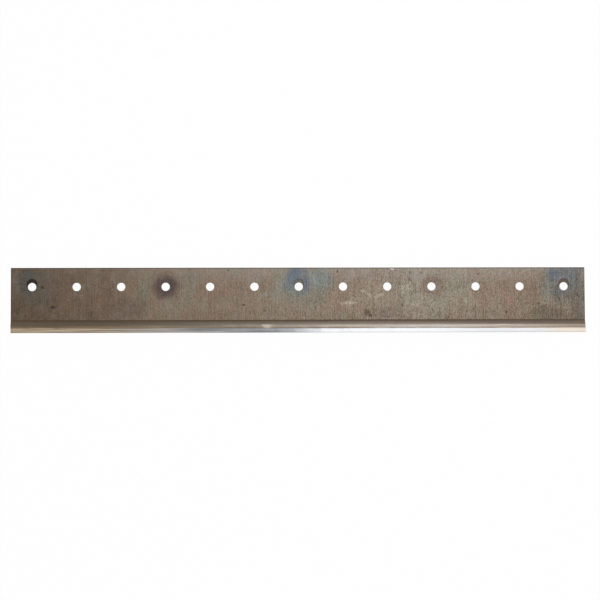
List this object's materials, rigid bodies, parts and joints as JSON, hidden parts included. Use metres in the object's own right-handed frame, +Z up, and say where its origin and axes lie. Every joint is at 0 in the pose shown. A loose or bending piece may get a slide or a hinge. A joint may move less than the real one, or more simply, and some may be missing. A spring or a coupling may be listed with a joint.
{
  "type": "reel mower bedknife",
  "caption": "Flat steel bedknife bar with a ground raised cutting lip along one edge and a row of countersunk screw holes, for a reel mower.",
  "frame": {"origin": "under the middle of the bar, on the flat underside", "axes": "+X along the bar, +Y from the cutting edge to the heel edge, +Z up from the underside to the seat"},
  "size_m": [0.658, 0.075, 0.0112],
  "materials": {
    "steel": "ground high carbon steel with a brown oil and heat patina, bright on the ground lip"
  },
  "bodies": {
    "root": {"bedknife": "steel"}
  },
  "joints": []
}
